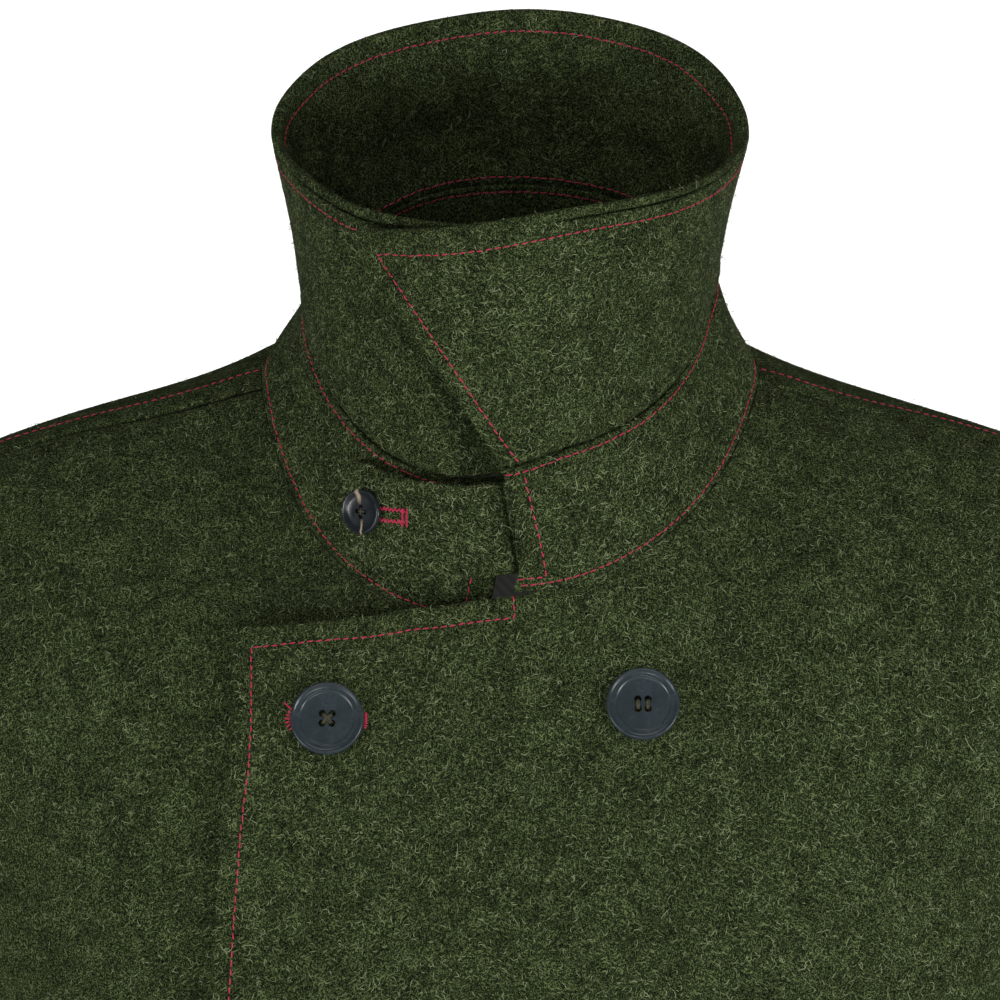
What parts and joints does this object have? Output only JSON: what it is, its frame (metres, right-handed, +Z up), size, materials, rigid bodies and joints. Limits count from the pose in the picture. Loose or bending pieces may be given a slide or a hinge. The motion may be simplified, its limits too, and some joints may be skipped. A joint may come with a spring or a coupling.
{
  "type": "loden jacket",
  "caption": "Double-breasted loden jacket with a turned-up stand collar, a buttoned throat tab and contrast edge stitching, filled out as worn and hollow.",
  "frame": {"origin": "between the shoulders, on the upright line through the neck, at the height where the shoulder seams meet the collar", "axes": "+Z up, -Y to the front, +X to the wearer's left"},
  "size_m": [0.7982, 0.3156, 0.8362],
  "materials": {
    "loden": "fulled wool with a short nap",
    "lining": "smooth twill",
    "button_slate": "satin",
    "button_horn": "polished, mottled"
  },
  "bodies": {
    "root": {"back": "loden", "front_left": "loden", "front_right": "loden", "top_sleeve_left": "loden", "top_sleeve_right": "loden", "under_sleeve_left": "loden", "under_sleeve_right": "loden", "stand_outer": "loden", "stand_inner": "loden", "leaf_outer": "loden", "leaf_inner": "loden", "throat_tab": "loden", "yoke_lining": "lining", "button_right_1": "button_slate", "button_left_1": "button_slate", "button_right_2": "button_slate", "button_left_2": "button_slate", "button_right_3": "button_slate", "button_left_3": "button_slate", "button_right_4": "button_slate", "button_left_4": "button_slate", "button_tab": "button_horn"}
  },
  "joints": []
}
